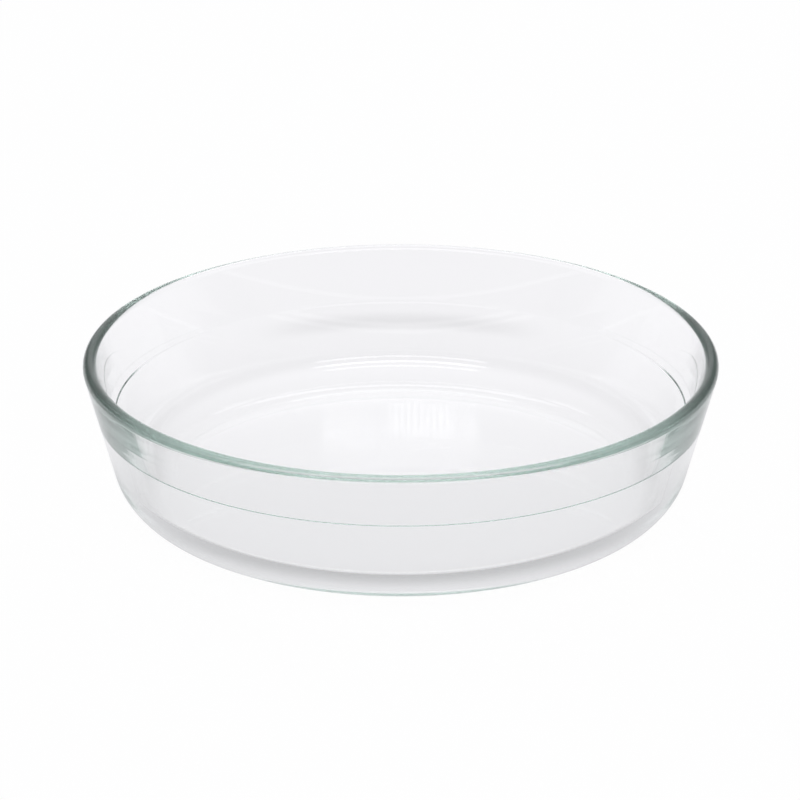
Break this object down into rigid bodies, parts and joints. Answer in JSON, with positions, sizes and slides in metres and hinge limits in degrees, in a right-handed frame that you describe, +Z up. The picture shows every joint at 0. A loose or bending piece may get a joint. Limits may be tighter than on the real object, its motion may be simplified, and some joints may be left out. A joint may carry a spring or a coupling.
{
  "type": "pie dish",
  "caption": "Round pie dish of clear pressed glass: thick wall leaning outwards, rounded rim, fine ledge line around the inside, curved heel, flat foot. Holds a pie in the oven and on the table.",
  "frame": {"origin": "centre of the foot ring, on the plane that the dish stands on", "axes": "+Z up along the dish's axis, out of its mouth; X and Y are alike, because the dish is round"},
  "size_m": [0.26, 0.26, 0.062],
  "materials": {
    "clear_glass": "clear pressed glass, smooth and fire polished, faintly green where it is seen edge on"
  },
  "bodies": {
    "root": {"glass_dish": "clear_glass"}
  },
  "joints": []
}
